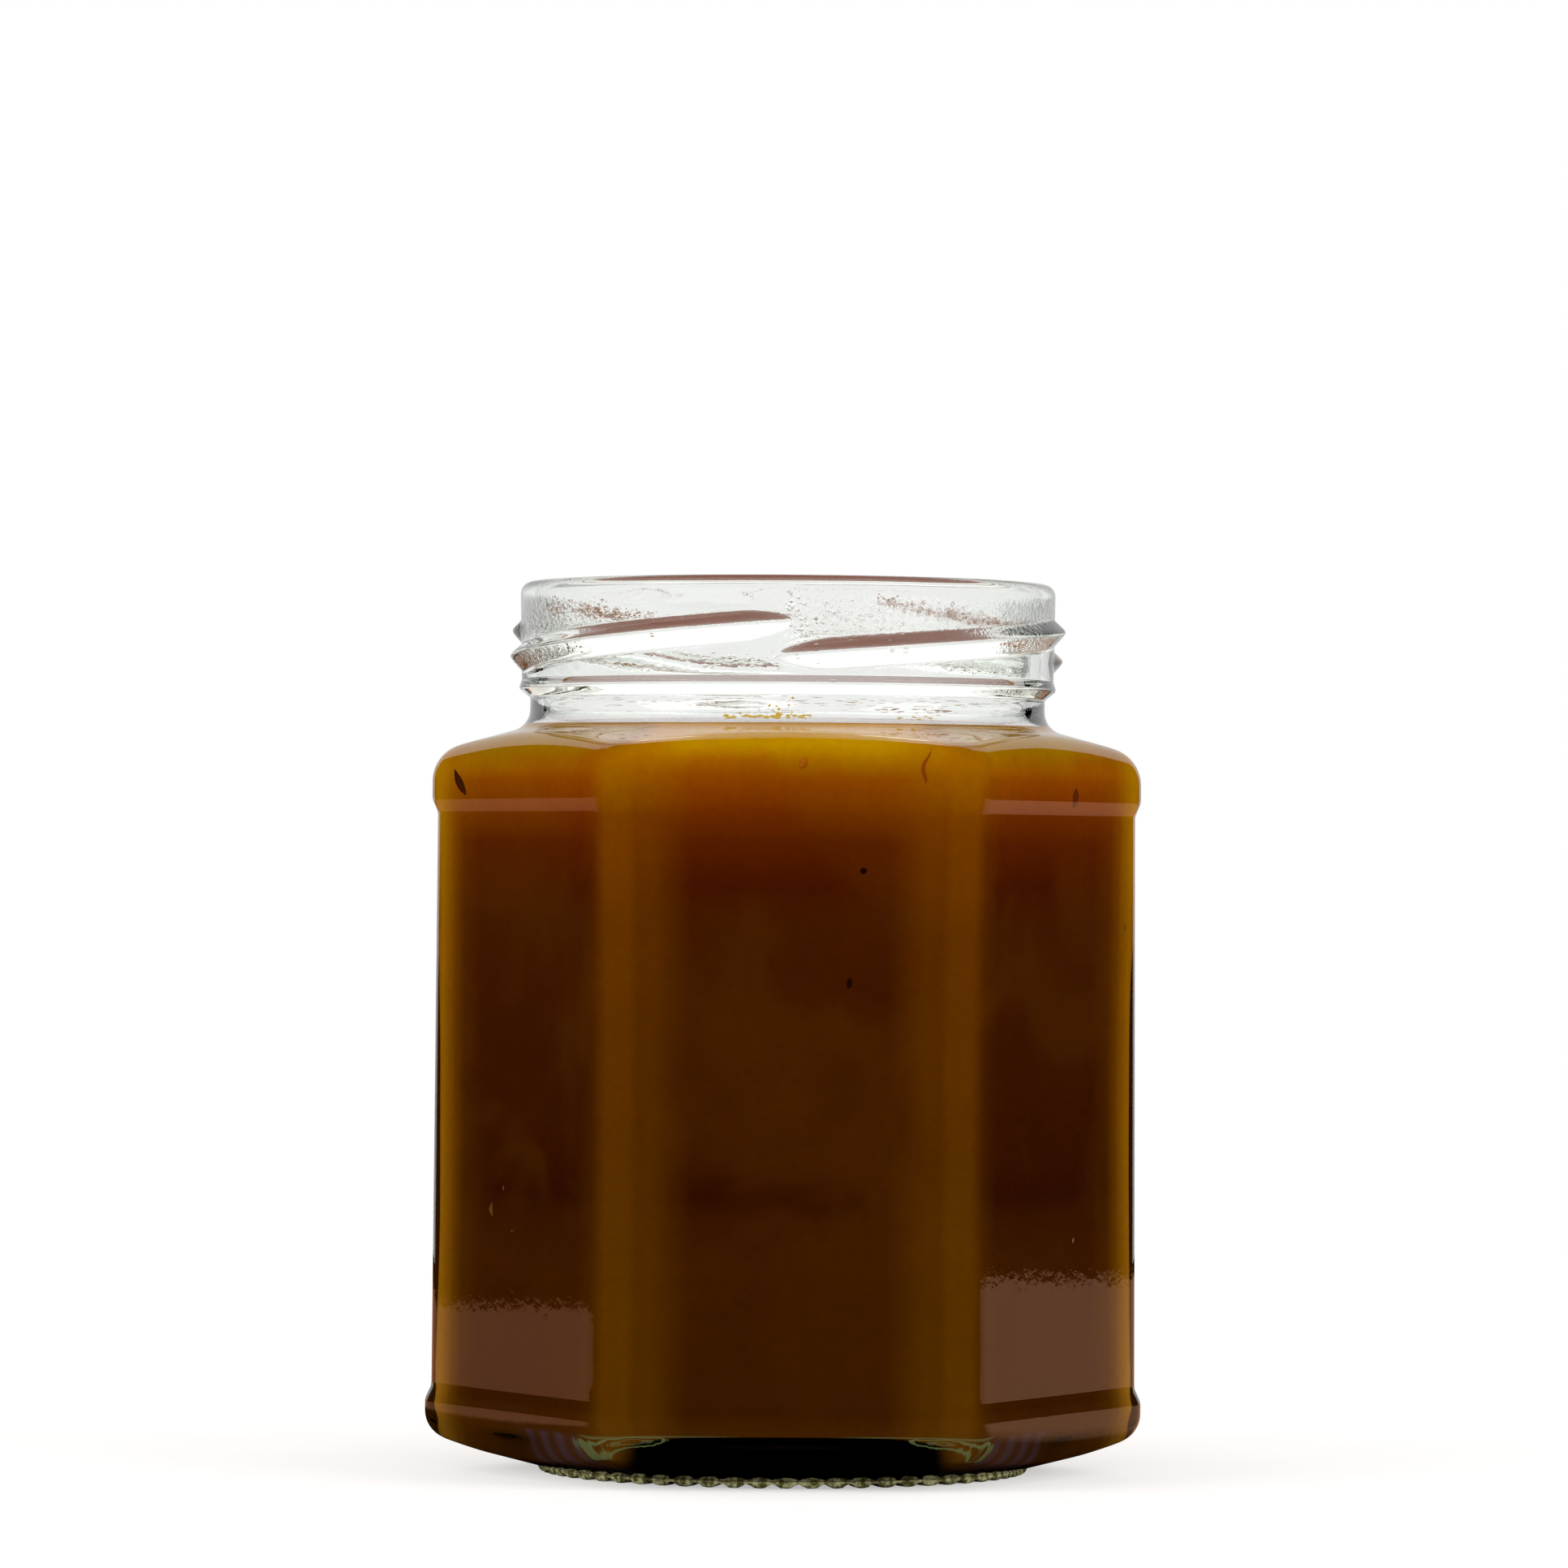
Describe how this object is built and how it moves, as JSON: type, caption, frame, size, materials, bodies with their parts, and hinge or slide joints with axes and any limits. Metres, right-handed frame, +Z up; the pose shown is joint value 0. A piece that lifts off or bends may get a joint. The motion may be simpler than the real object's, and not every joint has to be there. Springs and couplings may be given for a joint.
{
  "type": "filled hexagonal glass jar",
  "caption": "Open hexagonal clear glass jar with a twist-off lug mouth, filled to the foot of its neck with a thick amber-brown sauce.",
  "frame": {"origin": "middle of the base, on the surface that the jar stands on", "axes": "+Z up along the jar's axis to the open mouth, flat sides towards -Y and +Y, corners towards -X and +X"},
  "size_m": [0.0794, 0.0702, 0.0983],
  "materials": {
    "clear_glass": "smooth, fire polished",
    "amber_sauce": "wet, translucent, smooth puree"
  },
  "bodies": {
    "root": {"glass_jar": "clear_glass", "sauce": "amber_sauce"}
  },
  "joints": []
}
